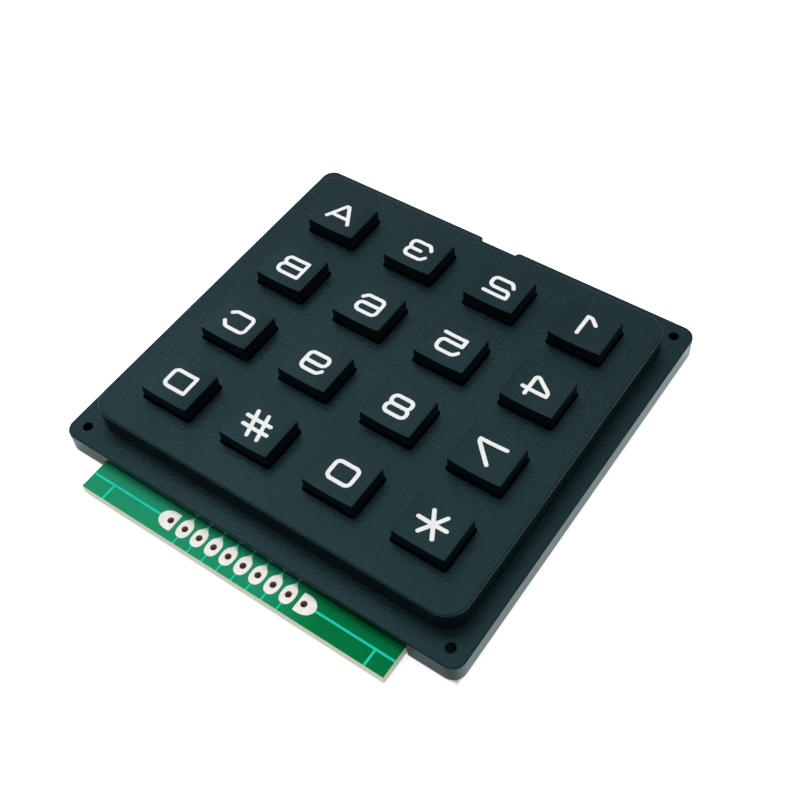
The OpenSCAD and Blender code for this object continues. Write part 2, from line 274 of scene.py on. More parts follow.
class HeaderSizes(bpy.types.PropertyGroup):
    """The row of plated holes and the pads round them."""

    count: number("Holes", "Number of holes in the row", 10, 4, 16)
    pitch: length("Pitch", "Spacing of the holes", 2.54, 2.0, 5.08)
    hole: length("Hole Diameter", "Inside diameter of a plated hole", 1.0, 0.6, 1.3)
    pad_width: length("Pad Width", "Width of an inner pad", 2.1, 1.6, 2.4)
    pad_length: length("Pad Length", "Length of an inner pad", 2.9, 2.0, 3.2)
    tail: length("Tail Reach", "From the hole to the tip of a pad's tail", 1.9, 1.5, 2.5)
    tail_root: length("Tail Root", "From the hole to where the tail begins", 0.85, 0.6, 1.4)
    tail_width: length("Tail Root Width", "Width of the tail where it begins", 1.68, 0.4, 1.9)
    tail_tip: length("Tail Tip Width", "Width of the tail at its tip", 0.25, 0.1, 0.5)
    end_width: length("End Pad Width", "Width of an end pad", 2.9, 2.0, 3.2)
    end_flat: length("End Pad Flat", "From the hole to an end pad's flat side", 0.9, 0.6, 1.2)
    end_tip: length("End Pad Tip", "From the hole to an end pad's blunt tip", 1.86, 1.4, 2.2)
    back_pad: length("Back Pad", "Diameter of a pad on the underside", 1.9, 1.4, 2.3)
    copper: length("Copper", "Thickness of the pads", 0.05, 0.02, 0.07)
    hole_fill: length("Hole Fill", "Thickness of the solder inside a hole", 0.04, 0.0, 0.2)
    tin_coat: length("Tin Coat", "Thickness of the tin on a pad", 0.006, 0.002, 0.02)
    tin: colour("Tin", "Colour of the tinned pads", 0.90, 0.90, 0.84)
    # Partly the mask's green over the tails' tips, partly painted shade from the housing beside
    # them
    masked_and_shaded_tail: colour("Tail", "Colour of a tail under the mask", 0.30, 0.72, 0.54)
    flux: colour("Flux", "Colour of the residue in the holes", 0.44, 0.26, 0.16)


class MembraneSizes(bpy.types.PropertyGroup):
    """How the rubber membrane is cut into its sheet and domes. Its shape comes from the CAD
    membrane.
    """

    sheet: length("Sheet", "Thickness of the flat sheet between the domes", 0.9, 0.5, 1.2)
    dome: length("Dome Width", "Width of the square that holds one dome", 9.0, 8.0, 12.0)
    rubber: colour("Rubber", "Colour of the rubber", 0.105, 0.12, 0.125)


class PlasticLooks(bpy.types.PropertyGroup):
    """Finish of the moulded housing and keys."""

    housing: colour("Housing", "Colour of the housing", 0.0010, 0.0050, 0.0080)
    key: colour("Key", "Colour of the keys", 0.0007, 0.0034, 0.0064)
    gloss_tint: colour("Gloss Tint", "Tint of the plastic's gloss", 0.43, 0.93, 1.0)
    gloss: factor("Gloss", "Strength of the plastic's gloss", 0.5)
    grain: length("Grain Size", "Size of the moulded grain", 0.42, 0.05, 0.6)
    grain_depth: length("Grain Depth", "Depth of the moulded grain", 0.09, 0.0, 0.2)
    key_grain: factor("Key Grain", "Share of the grain's depth that the keys have", 0.4)
    grain_shade: factor("Grain Shade", "Change of tone across the grain", 0.25)
    roughness: factor("Roughness", "Roughness of the grained faces", 0.45)
    wall_roughness: factor("Wall Roughness", "Roughness of the upright walls", 0.2)


class BoardLooks(bpy.types.PropertyGroup):
    """Finish of the circuit board."""

    mask: colour("Solder Mask", "Colour of the green mask", 0.001, 0.185, 0.048)
    # Painted sheen: the mask is lighter and bluer towards the left, standing in for the lamp's
    # gloss there
    mask_sheen_left: colour("Solder Mask, Left", "Colour of the mask at the left", 0.016, 0.285, 0.140)
    mask_gloss: colour("Mask Gloss", "Tint of the mask's gloss", 0.02, 1.0, 0.6)
    gloss: factor("Gloss", "Strength of the mask's gloss", 0.1)
    core: colour("Core", "Colour of the glass fibre core at the top", 0.88, 0.92, 0.60)
    core_foot: colour("Core Foot", "Colour of the core at the bottom", 0.97, 0.98, 0.91)
    trace: colour("Traces", "Colour of the copper under the mask", 0.015, 0.72, 0.50)


class StageSetting(bpy.types.PropertyGroup):
    """The camera, the floor and the lamps."""

    azimuth: angle("Azimuth", "Turn of the view", 39.628)
    elevation: angle("Elevation", "Height of the view", 53.014)
    roll: angle("Roll", "Roll of the camera", -5.795)
    place: spot("Camera Place", "Where the camera stands", 0.068567, -0.079577, 0.137838)
    lens: factor("Lens", "Focal length in millimetres, for a 36 mm picture", 53.53, 20.0, 200.0)
    floor_size: length("Floor Size", "Width of the floor", 3000.0, 500.0, 10000.0)
    floor: colour("Floor", "Colour of the floor", 0.86, 0.86, 0.86)
    left_lamp: factor("Left Lamp", "Power of the high lamp at the left, in watts", 0.6, 0.0, 20.0)
    back_lamp: factor(
        "Back Lamp", "Power of the lamp behind, which no gloss shows, in watts", 1.65, 0.0, 20.0
    )
    sky: factor("Sky", "Brightness of the surroundings overhead", 0.62, 0.0, 2.0)
    horizon: factor("Horizon", "Brightness of the surroundings at the horizon", 0.12, 0.0, 2.0)
    white: factor("White", "Glow that keeps the floor white to the camera", 0.75)
    bounce: factor("Bounce", "Glow that the floor throws on upright walls", 0.28)
    mirrored: factor("Mirrored White", "Glow in a gloss of the floor at the sides", 0.58)
    mirrored_ends: factor(
        "Mirrored White, Ends", "Glow in a gloss of the floor in front and behind", 0.12
    )
    mirrored_tint: colour("Mirrored Tint", "Tint of the floor's glow in a gloss", 0.80, 1.0, 0.99)


# Node trees


class Nodes:
    """Adds nodes to a tree. Each input is a plain value or another node's output."""

    def __init__(self, tree):
        self.tree = tree

    def feed(self, node, inputs):
        """Sets a node's inputs, by name or number."""
        for key, value in inputs.items():
            if isinstance(value, bpy.types.NodeSocket):
                self.tree.links.new(value, node.inputs[key])
            else:
                node.inputs[key].default_value = value

    def add(self, kind, inputs=None, **settings):
        """A new node."""
        node = self.tree.nodes.new(kind)
        for name, value in settings.items():
            setattr(node, name, value)
        self.feed(node, inputs or {})
        return node

    def out(self, kind, inputs=None, output=0, **settings):
        """An output of a new node."""
        return self.add(kind, inputs, **settings).outputs[output]

    def maths(self, operation, *values):
        return self.out("ShaderNodeMath", dict(enumerate(values)), operation=operation)

    def plus(self, one, other):
        return self.maths("ADD", one, other)

    def minus(self, one, other):
        return self.maths("SUBTRACT", one, other)

    def times(self, one, other):
        return self.maths("MULTIPLY", one, other)

    def over(self, one, other):
        return self.maths("DIVIDE", one, other)

    def larger(self, one, other):
        return self.maths("MAXIMUM", one, other)

    def vector_maths(self, operation, *values):
        return self.out("ShaderNodeVectorMath", dict(enumerate(values)), operation=operation)

    def vector(self, x=0.0, y=0.0, z=0.0):
        return self.out("ShaderNodeCombineXYZ", {0: x, 1: y, 2: z})

    def axes(self, vector):
        """The X, Y and Z of a vector."""
        return self.add("ShaderNodeSeparateXYZ", {0: vector}).outputs

    def ramp(self, value, start=0.0, end=1.0, first=0.0, last=1.0):
        """Goes from first to last while the value goes from start to end, and no further."""
        return self.out("ShaderNodeMapRange", {0: value, 1: start, 2: end, 3: first, 4: last})

    def mix(self, share, one, other):
        """A colour between two, each a node's output or red, green and blue."""
        tones = [
            tone if isinstance(tone, bpy.types.NodeSocket) else (*tone, 1.0)
            for tone in (one, other)
        ]
        return self.out(
            "ShaderNodeMix", {0: share, 6: tones[0], 7: tones[1]}, 2, data_type="RGBA"
        )

    def place(self):
        """A shaded point's place in the part's own frame."""
        return self.out("ShaderNodeTexCoord", output="Object")

    def bump(self, height, distance):
        """A normal that follows a height."""
        return self.out("ShaderNodeBump", {
            "Height": height, "Distance": distance, "Strength": 1.0,
        })

    def move(self, shape, place, **more):
        return self.out("GeometryNodeTransform", {
            "Geometry": shape, "Translation": place, **more,
        })

    def join(self, *shapes):
        node = self.add("GeometryNodeJoinGeometry")
        for shape in shapes:
            self.tree.links.new(shape, node.inputs[0])
        return node.outputs[0]

    def realize(self, shape):
        return self.out("GeometryNodeRealizeInstances", {"Geometry": shape})

    def cut(self, shape, cutter):
        return self.out(
            "GeometryNodeMeshBoolean", {"Mesh 1": shape, "Mesh 2": cutter},
            operation="DIFFERENCE", solver="EXACT",
        )


def new_tree(kind, name, inputs, outputs):
    """A node group with its input node's sockets and its output node. Sockets go by type."""
    tree = bpy.data.node_groups.new(name, kind)
    for direction, sockets in (("INPUT", inputs), ("OUTPUT", outputs)):
        for socket, labels in sockets.items():
            for label in labels:
                tree.interface.new_socket(
                    name=label, in_out=direction, socket_type=f"NodeSocket{socket}"
                )
    given = tree.nodes.new("NodeGroupInput").outputs
    return Nodes(tree), given, tree.nodes.new("NodeGroupOutput")


def shape_tree(name, inputs):
    """A Geometry Nodes tree, and the step that ends it with a plain mesh in its material."""
    nodes, given, result = new_tree(
        "GeometryNodeTree", name, {**inputs, "Material": ("Material",)},
        {"Geometry": ("Geometry",)},
    )

    def finish(shape):
        nodes.feed(result, {"Geometry": nodes.out("GeometryNodeSetMaterial", {
            "Geometry": nodes.realize(shape), "Material": given["Material"],
        })})
        return nodes.tree

    return nodes, given, finish


def bake_tree(obj, tree, values):
    """Runs a Geometry Nodes tree on an object and keeps the result as its plain mesh."""
    modifier = obj.modifiers.new(tree.name, "NODES")
    modifier.node_group = tree
    for item in tree.interface.items_tree:
        if item.item_type == "SOCKET" and item.in_out == "INPUT" and item.name in values:
            modifier[item.identifier] = values[item.name]
    bpy.context.view_layer.update()
    result = obj.evaluated_get(bpy.context.evaluated_depsgraph_get())
    made = bpy.data.meshes.new_from_object(result)
    obj.modifiers.remove(modifier)
    if not made.polygons:
        raise RuntimeError(f"{tree.name} made no faces for {obj.name}")
    made.name = obj.name
    obj.data = made


# Shared steps


class Step:
    """One step of the build, run from the panel or by main."""

    def execute(self, context):
        self.build(context.scene)
        return {"FINISHED"}


def link_object(name, data):
    """An object at the origin that shows a mesh, a lamp or a camera."""
    obj = bpy.data.objects.new(name, data)
    bpy.context.scene.collection.objects.link(obj)
    return obj


def new_object(name, vertices, edges=(), faces=()):
    """A mesh object from its points."""
    mesh = bpy.data.meshes.new(name)
    mesh.from_pydata(vertices, edges, faces)
    return link_object(name, mesh)


def finish_mesh(obj, degrees):
    """Merges doubles, turns all faces outwards and shades smooth up to an angle."""
    face_outward(obj)
    obj.data.shade_smooth()
    obj.data.set_sharp_from_angle(angle=math.radians(degrees))


def face_outward(obj):
    """Merges an object's doubles and turns all its faces outwards."""
    shape = bmesh.new()
    shape.from_mesh(obj.data)
    bmesh.ops.remove_doubles(shape, verts=shape.verts, dist=WELD_NEAR)
    bmesh.ops.recalc_face_normals(shape, faces=shape.faces)
    if shape.calc_volume(signed=True) < 0:
        bmesh.ops.reverse_faces(shape, faces=shape.faces)
    shape.to_mesh(obj.data)
    shape.free()


def set_material(obj, material):
    """Gives an object one material."""
    obj.data.materials.clear()
    obj.data.materials.append(material)


def box_of(node):
    """Lowest corner, highest corner and middle of a CAD node."""
    low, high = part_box(node)
    return low, high, (low + high) / 2


def dress(obj, body, material_slot, *nodes):
    """Puts a finished piece on its body, in place of the CAD nodes that it stands for."""
    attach(obj, body)
    if nodes:
        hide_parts(*nodes)


# Materials

# Scales are in turns per metre, and a share is a part of 1
NOISE_REACH = (0.3, 0.7)  # where nearly all of a noise texture's values lie
GRAIN_REACH = (0.3, 0.6)  # the same for the grain's height
PIT_SHARE = 0.3  # of the grain's height
PIT_SCALE = 0.6  # against the grain's own
SMUDGE_SCALE = 45.0
SMUDGE_SHADE = 0.08  # how far the smudges change the tone, up and down
SMUDGE_WEAR = (-0.04, 0.05)  # how far they change the roughness
SPECKLE_SHARE = 0.25  # of the mottling
MOTTLE_REACH = (0.35, 0.65)
WALL_REACH = (0.05, 0.6)  # a normal's Z, from an upright wall to a face that counts as flat
MASK_SCALES = (260.0, 9000.0)  # of the patches and of the speckle
TIN_SCALES = (1400.0, 9000.0)
FIBRE_SCALE = 1900.0
MASK_ROUGHNESS, CORE_ROUGHNESS, TIN_ROUGHNESS = 0.22, 0.75, 0.35
MASK_BUMP, TIN_BUMP = 0.004 * MM, 0.01 * MM
SHEEN_REACH = (0.5, 0.2)  # of the board's half width, where a painted sheen lightens the mask towards the left
TAIL_FADE = (0.6 * MM, 0.2 * MM)  # from the tips of the tails, where the mask covers them and painted shade from the housing darkens them
BORE_FADE = (0.2, 1.2)  # down from a pad's face, in copper thicknesses, where residue begins


def darker(tone, share):
    """A colour at a share of its brightness."""
    return tuple(share * part for part in tone)


def grain_group():
    """Fine moulded grain with slow smudges: a shade of a colour, a roughness and a height."""
    name = "Moulded Grain"
    if name in bpy.data.node_groups:
        return bpy.data.node_groups[name]
    nodes, given, result = new_tree(
        "ShaderNodeTree", name,
        {"Color": ("Colour",), "Float": ("Grain Scale", "Shade", "Roughness")},
        {"Color": ("Colour",), "Float": ("Roughness", "Height")},
    )
    place, scale, shade = nodes.place(), given["Grain Scale"], given["Shade"]
    grain = nodes.out("ShaderNodeTexNoise", {
        "Vector": place, "Scale": scale, "Detail": 2.0, "Roughness": 0.55,
    })
    pits = nodes.out("ShaderNodeTexVoronoi", {
        "Vector": place, "Scale": nodes.times(scale, PIT_SCALE),
    }, "Distance", feature="SMOOTH_F1")
    smudge = nodes.out("ShaderNodeTexNoise", {
        "Vector": place, "Scale": SMUDGE_SCALE, "Detail": 3.0,
    })
    height = nodes.plus(nodes.times(grain, 1 - PIT_SHARE), nodes.times(pits, PIT_SHARE))
    spread = nodes.ramp(height, *GRAIN_REACH, nodes.minus(1.0, shade), nodes.plus(1.0, shade))
    smear = nodes.ramp(smudge, *NOISE_REACH, 1 - SMUDGE_SHADE, 1 + SMUDGE_SHADE)
    tinted = nodes.out("ShaderNodeVectorMath", {
        0: given["Colour"], "Scale": nodes.times(spread, smear),
    }, operation="SCALE")
    wear = nodes.ramp(smudge, *NOISE_REACH, *SMUDGE_WEAR)
    nodes.feed(result, {
        "Colour": tinted,
        "Roughness": nodes.plus(given["Roughness"], wear),
        "Height": height,
    })
    return nodes.tree


def mottle_group():
    """Slow uneven colour between two tones, with a little fine speckle."""
    name = "Mottled Tone"
    if name in bpy.data.node_groups:
        return bpy.data.node_groups[name]
    nodes, given, result = new_tree(
        "ShaderNodeTree", name,
        {"Color": ("Tone A", "Tone B"), "Float": ("Patch Scale", "Speckle Scale")},
        {"Color": ("Colour",), "Float": ("Height",)},
    )
    place = nodes.place()
    patch = nodes.out("ShaderNodeTexNoise", {
        "Vector": place, "Scale": given["Patch Scale"], "Detail": 3.0, "Distortion": 0.4,
    })
    speckle = nodes.out("ShaderNodeTexNoise", {
        "Vector": place, "Scale": given["Speckle Scale"], "Detail": 2.0,
    })
    share = nodes.plus(
        nodes.times(patch, 1 - SPECKLE_SHARE), nodes.times(speckle, SPECKLE_SHARE)
    )
    nodes.feed(result, {
        "Colour": nodes.mix(nodes.ramp(share, *MOTTLE_REACH), given["Tone A"], given["Tone B"]),
        "Height": share,
    })
    return nodes.tree


def mottle(nodes, tone, other, patches, speckles):
    """Colour and height that waver between two tones."""
    return nodes.add("ShaderNodeGroup", {
        "Tone A": (*tone, 1.0), "Tone B": (*other, 1.0),
        "Patch Scale": patches, "Speckle Scale": speckles,
    }, node_tree=mottle_group()).outputs


def new_material(name):
    """A material with a bare Principled shader."""
    material = bpy.data.materials.new(name)
    material.use_nodes = True
    tree = material.node_tree
    return material, Nodes(tree), tree.nodes["Principled BSDF"]


def add_gloss(shader, strength, tint):
    """Sets the strength and the tint of a shader's gloss."""
    shader.inputs["Specular IOR Level"].default_value = strength
    shader.inputs["Specular Tint"].default_value = (*tint, 1.0)


def upward_mask(nodes):
    """1 where a face looks up or down, 0 on an upright wall, with a soft change between."""
    facing = nodes.axes(nodes.out("ShaderNodeNewGeometry", output="Normal"))[2]
    return nodes.ramp(nodes.maths("ABSOLUTE", facing), *WALL_REACH)


def plastic_material(name, tone, grain_share=1.0):
    """Black moulded plastic: a fine matt grain on faces that look up, smoother walls."""
    looks = bpy.context.scene.keypad_plastic
    material, nodes, shader = new_material(name)
    upward = upward_mask(nodes)
    grain = nodes.add("ShaderNodeGroup", {
        "Colour": (*tone, 1.0),
        "Grain Scale": 1.0 / looks.grain,
        "Shade": nodes.times(upward, looks.grain_shade),
        "Roughness": nodes.ramp(upward, first=looks.wall_roughness, last=looks.roughness),
    }, node_tree=grain_group()).outputs
    height = nodes.times(grain["Height"], upward)
    nodes.feed(shader, {
        "Base Color": grain["Colour"],
        "Roughness": grain["Roughness"],
        "Normal": nodes.bump(height, grain_share * looks.grain_depth),
    })
    add_gloss(shader, looks.gloss, looks.gloss_tint)
    return material


def mottled_material(name, tone, other, patch, speckle, roughness, metallic=0.0, bump=0.0):
    """A surface of two close tones with a fine speckle."""
    material, nodes, shader = new_material(name)
    tones = mottle(nodes, tone, other, 1.0 / patch, 1.0 / speckle)
    nodes.feed(shader, {
        "Base Color": tones["Colour"], "Roughness": roughness, "Metallic": metallic,
    })
    if bump:
        nodes.feed(shader, {"Normal": nodes.bump(tones["Height"], bump)})
    return material


def board_material():
    """Green mask on the two faces of the board and layered glass fibre on its cut edges."""
    looks = bpy.context.scene.keypad_board
    material, nodes, shader = new_material("solder_mask_and_core")
    low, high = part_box("board")
    place = nodes.place()
    axes = nodes.axes(place)
    mask = mottle(nodes, looks.mask, darker(looks.mask, 0.86), *MASK_SCALES)
    # Painted sheen: the green turns lighter and bluer towards the left of the board
    sheen_left = nodes.ramp(axes[0], *(share * high.x for share in SHEEN_REACH))
    green = nodes.mix(sheen_left, mask["Colour"], looks.mask_sheen_left)
    layers = nodes.out("ShaderNodeTexWave", {
        "Vector": place, "Scale": FIBRE_SCALE, "Distortion": 1.5, "Detail": 2.0,
    }, 1, wave_type="BANDS", bands_direction="Z")
    fibre = nodes.mix(layers, darker(looks.core, 0.86), looks.core)
    fibre = nodes.mix(nodes.ramp(axes[2], low.z, high.z), looks.core_foot, fibre)
    flat = nodes.maths("GREATER_THAN", upward_mask(nodes), 0.5)
    nodes.feed(shader, {
        "Base Color": nodes.mix(flat, fibre, green),
        "Roughness": nodes.ramp(flat, first=CORE_ROUGHNESS, last=MASK_ROUGHNESS),
        "Normal": nodes.bump(mask["Height"], MASK_BUMP),
    })
    add_gloss(shader, looks.gloss, looks.mask_gloss)
    return material


def tin_material():
    """Dull bright tin with brown residue inside the holes."""
    sizes = bpy.context.scene.keypad_header
    material, nodes, shader = new_material("tinned_copper")
    low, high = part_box("header_pads")
    axes = nodes.axes(nodes.place())
    tin = mottle(nodes, sizes.tin, darker(sizes.tin, 0.88), *TIN_SCALES)
    # The tips of the tails: partly the mask's real green, partly painted shade next to the
    # housing
    tail = nodes.ramp(axes[1], *(high.y - inset for inset in TAIL_FADE))
    inside = nodes.ramp(axes[2], *(high.z - depth * sizes.copper for depth in BORE_FADE))
    tinned = nodes.mix(tail, tin["Colour"], sizes.masked_and_shaded_tail)
    nodes.feed(shader, {
        "Base Color": nodes.mix(inside, tinned, sizes.flux),
        "Metallic": 0.1,
        "Roughness": TIN_ROUGHNESS,
        "Normal": nodes.bump(tin["Height"], TIN_BUMP),
    })
    return material


# Keycaps


def keycap_section(sizes, height):
    """Half of a keycap's section: out from the flat top, over the edge and down to the skirt."""
    points = [(0.0, height), (sizes.rim, height)]
    for step in range(1, sizes.edge_steps + 1):
        turn = math.radians(90) * step / sizes.edge_steps
        points.append((
            sizes.rim + sizes.edge * math.sin(turn),
            height - sizes.edge * (1 - math.cos(turn)),
        ))
    wall = sizes.rim + sizes.edge + sizes.draft * (1 - sizes.skirt / height)
    lap = sizes.rim + sizes.edge + sizes.draft + sizes.skirt_lap
    points += [
        (wall, sizes.skirt),
        (lap - SKIRT_EASE, sizes.skirt),
        (lap, sizes.skirt - SKIRT_EASE),
        (lap, 0.0),
        (0.0, 0.0),
    ]
    return points


def top_half_width(sizes, width):
    """Half the width of a key's top, from the full width of its skirt."""
    return width / 2 - sizes.skirt_lap - sizes.draft


def dish_radius(sizes, width):
    """Radius of the cylinder that hollows a key's top from side to side."""
    half = top_half_width(sizes, width)
    return (half**2 + sizes.dish**2) / (2 * sizes.dish)


def keycap_tree():
    """Sweeps a section round a rounded rectangle, closes it, hollows its top with a cylinder
    and cuts four pockets under it."""
    nodes, given, finish = shape_tree("Keycap", {
        "Geometry": ("Section",),
        "Float": (
            "Path Width", "Path Depth", "Path Radius", "Height", "Hollow Radius", "Hollow Depth",
        ),
        "Int": ("Hollow Faces",),
        "Vector": ("Pocket Size", "Pocket Spread", "Place"),
    })
    path = nodes.out("GeometryNodeCurvePrimitiveQuadrilateral", {
        "Width": given["Path Width"], "Height": given["Path Depth"],
    }, mode="RECTANGLE")
    path = nodes.out("GeometryNodeFilletCurve", {
        "Curve": path, "Radius": given["Path Radius"], "Count": FILLET_STEPS,
    }, mode="POLY")
    path = nodes.out("GeometryNodeSetCurveNormal", {"Curve": path}, mode="Z_UP")
    section = nodes.out("GeometryNodeMeshToCurve", {"Mesh": given["Section"]})
    sides = nodes.out("GeometryNodeCurveToMesh", {"Curve": path, "Profile Curve": section})
    lid = nodes.out("GeometryNodeFillCurve", {"Curve": path}, mode="NGONS")
    top = nodes.move(lid, nodes.vector(z=given["Height"]))
    base = nodes.out("GeometryNodeFlipFaces", {"Mesh": lid})
    shell = nodes.out("GeometryNodeMergeByDistance", {
        "Geometry": nodes.join(base, top, sides), "Distance": MERGE_NEAR,
    })
    spread = nodes.axes(given["Pocket Spread"])
    spots = nodes.out("GeometryNodeMeshGrid", {
        "Size X": spread[0], "Size Y": spread[1], "Vertices X": 2, "Vertices Y": 2,
    })
    pocket = nodes.out("GeometryNodeMeshCube", {"Size": given["Pocket Size"]})
    pockets = nodes.realize(nodes.out("GeometryNodeInstanceOnPoints", {
        "Points": spots, "Instance": pocket,
    }))
    barrel = nodes.out("GeometryNodeMeshCylinder", {
        "Vertices": given["Hollow Faces"], "Radius": given["Hollow Radius"],
        "Depth": BARREL_LENGTH,
    })
    above = nodes.plus(given["Height"], given["Hollow Radius"])
    barrel = nodes.move(
        barrel, nodes.vector(z=nodes.minus(above, given["Hollow Depth"])),
        Rotation=(math.radians(90), 0.0, 0.0),
    )
    cap = nodes.cut(shell, nodes.join(barrel, pockets))
    return finish(nodes.move(cap, given["Place"]))


class KEYPAD_OT_keycaps(Step, bpy.types.Operator):
    """Builds the sixteen keycaps from one swept section"""

    bl_idname = "keypad.keycaps"
    bl_label = "Keycaps"

    def build(self, scene):
        sizes = scene.keypad_keycap
        looks = scene.keypad_plastic
        material = plastic_material("key_plastic", looks.key, looks.key_grain)
        tree = keycap_tree()
        for key in KEYS:
            low, high, middle = box_of(f"key_{key}")
            span = high - low
            inner = 2 * (sizes.skirt_lap + sizes.draft + sizes.edge + sizes.rim)
            rows = [(reach, -height, 0.0) for reach, height in keycap_section(sizes, span.z)]
            links = [(step, step + 1) for step in range(len(rows) - 1)]
            cap = new_object(f"cap_{key}", rows, links)
            pocket = [
                (side - 2 * sizes.skirt_lap - 2 * sizes.wall - sizes.rib) / 2
                for side in (span.x, span.y)
            ]
            bake_tree(cap, tree, {
                "Path Width": span.x - inner,
                "Path Depth": span.y - inner,
                "Path Radius": sizes.corner - sizes.draft - sizes.edge - sizes.rim,
                "Height": span.z,
                "Hollow Radius": dish_radius(sizes, span.x),
                "Hollow Depth": sizes.dish,
                "Hollow Faces": sizes.dish_faces,
                "Pocket Size": (*pocket, 2 * (span.z - sizes.wall)),
                "Pocket Spread": (pocket[0] + sizes.rib, pocket[1] + sizes.rib, 0.0),
                "Place": (middle.x, middle.y, low.z),
                "Material": material,
            })
            finish_mesh(cap, MOULDED_ANGLE)
            dress(cap, f"button_{key}", "key_plastic", f"key_{key}")


# Legends


def legend_tree():
    """Rounds the bends of a sign's centre lines, thickens them into a flat body of ink and bends
    that body to the hollow of the key's top."""
    nodes, given, finish = shape_tree("Printed Sign", {
        "Geometry": ("Centre Lines",),
        "Float": (
            "Stroke Width", "Bend Radius", "Ink Height", "Grid Step", "Half Size",
            "Hollow Depth", "Hollow Half Width",
        ),
        "Vector": ("Place",),
    })
    ink, grid, half = given["Ink Height"], given["Grid Step"], given["Half Size"]
    lines = nodes.out("GeometryNodeMeshToCurve", {0: given["Centre Lines"]})
    bent = nodes.out("GeometryNodeFilletCurve", {
        "Curve": lines, "Radius": given["Bend Radius"], "Count": FILLET_STEPS,
        "Limit Radius": True,
    }, mode="POLY")
    wire = nodes.out("GeometryNodeCurveToMesh", {"Curve": bent})
    axes = nodes.axes(nodes.out("GeometryNodeInputPosition"))
    away = nodes.out("GeometryNodeProximity", {
        0: wire, "Sample Position": nodes.vector(axes[0], axes[1]),
    }, "Distance", target_element="EDGES")
    inside = nodes.minus(nodes.times(given["Stroke Width"], 0.5), away)
    across = nodes.over(inside, nodes.times(grid, SIGN_BLUR))
    through = nodes.over(nodes.minus(ink, nodes.maths("ABSOLUTE", axes[2])), ink)
    corner = nodes.vector(half, half, nodes.times(ink, 2.0))
    cells = nodes.out("FunctionNodeFloatToInt", {0: nodes.over(nodes.times(half, 2.0), grid)})
    body = nodes.out("GeometryNodeVolumeCube", {
        "Density": nodes.plus(0.5, nodes.maths("MINIMUM", across, through)),
        "Min": nodes.vector_maths("MULTIPLY", corner, (-1.0, -1.0, -1.0)),
        "Max": corner,
        "Resolution X": cells,
        "Resolution Y": cells,
        "Resolution Z": SIGN_LAYERS,
    })
    skin = nodes.out("GeometryNodeVolumeToMesh", {
        "Volume": body, "Threshold": 0.5,
    }, resolution_mode="GRID")
    from_middle = nodes.minus(axes[0], nodes.axes(given["Place"])[0])
    share = nodes.over(from_middle, given["Hollow Half Width"])
    fall = nodes.times(given["Hollow Depth"], nodes.minus(nodes.times(share, share), 1.0))
    return finish(nodes.out("GeometryNodeSetPosition", {
        "Geometry": nodes.move(skin, given["Place"]), "Offset": nodes.vector(z=fall),
    }))


class KEYPAD_OT_legends(Step, bpy.types.Operator):
    """Prints one sign on each key"""

    bl_idname = "keypad.legends"
    bl_label = "Legends"

    def build(self, scene):
        sizes = scene.keypad_legend
        cap = scene.keypad_keycap
        material = mottled_material(
            "legend_ink", sizes.ink_colour, darker(sizes.ink_colour, 0.94),
            patch=1.5 * MM, speckle=0.1 * MM, roughness=0.45, bump=0.002 * MM,
        )
        tree = legend_tree()
        side = 1.0 if sizes.reversed_signs else -1.0
        for key in KEYS:
            low, high, middle = box_of(f"key_{key}")
            rows, links = [], []
            for line in SIGNS[key]:
                links += [(at, at + 1) for at in range(len(rows), len(rows) + len(line) - 1)]
                rows += [
                    (side * x * MM + sizes.shift[0], y * MM + sizes.shift[1], 0.0)
                    for x, y in line
                ]
            sign = new_object(f"sign_{key}", rows, links)
            bake_tree(sign, tree, {
                "Stroke Width": sizes.stroke,
                "Bend Radius": sizes.bend,
                "Ink Height": sizes.ink,
                "Grid Step": sizes.grid,
                "Half Size": SIGN_REACH,
                "Hollow Depth": cap.dish,
                "Hollow Half Width": top_half_width(cap, high.x - low.x),
                "Place": (middle.x, middle.y, high.z),
                "Material": material,
            })
            finish_mesh(sign, FINE_ANGLE)
            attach(sign, f"button_{key}")


# Header pads


def oval_reach(along, half_width, half_length, power=2):
    """From the middle of an oval to its edge. A higher power makes it squarer."""
    share = (abs(along.x) / half_width) ** power + (abs(along.y) / half_length) ** power
    return share ** (-1 / power)


def inner_pad_reach(sizes, turn):
    """From the hole to the edge of an oval pad with a tail, at an angle from +X."""
    along = Vector((math.cos(turn), math.sin(turn)))
    reach = oval_reach(along, sizes.pad_width / 2, sizes.pad_length / 2, PAD_SQUARENESS)
    if along.y > 0:
        root, start = sizes.tail_width / 2, sizes.tail_root
        slope = (root - sizes.tail_tip / 2) / (sizes.tail - start)
        side = (root + slope * start) / (abs(along.x) + slope * along.y)
        if side * along.y > start:
            reach = max(reach, min(side, sizes.tail / along.y))
    return reach


def end_pad_reach(sizes, turn):
    """From the hole to the edge of a pad with a flat side to the left and a blunt tip."""
    along = Vector((math.cos(turn), math.sin(turn)))
    if along.x < 0:
        return oval_reach(along, sizes.end_flat, sizes.end_width / 2, END_SQUARENESS)
    return oval_reach(along, sizes.end_tip, sizes.end_width / 2)


